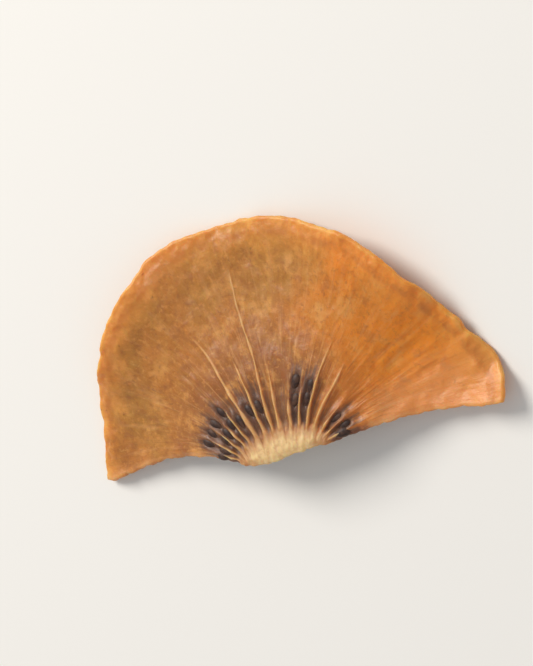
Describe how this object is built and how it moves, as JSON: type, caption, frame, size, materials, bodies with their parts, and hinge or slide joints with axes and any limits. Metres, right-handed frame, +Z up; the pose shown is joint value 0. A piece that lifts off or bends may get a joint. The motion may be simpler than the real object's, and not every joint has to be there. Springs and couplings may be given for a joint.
{
  "type": "dried golden kiwi half slice",
  "caption": "Half-moon slice of golden kiwi fruit, dried and curled, with its pale core at the cut edge, pale walls fanning out between the seed pockets, and dark seeds.",
  "frame": {"origin": "middle of the slice's footprint, on the surface that it lies on", "axes": "+X along the cut edge, +Y from the cut edge out to the round rim, +Z up from the surface"},
  "size_m": [0.0506, 0.0254, 0.0054],
  "materials": {
    "dried_flesh": "satin",
    "kiwi_seed": "satin"
  },
  "bodies": {
    "root": {"dried_kiwi_slice": "dried_flesh"}
  },
  "joints": []
}
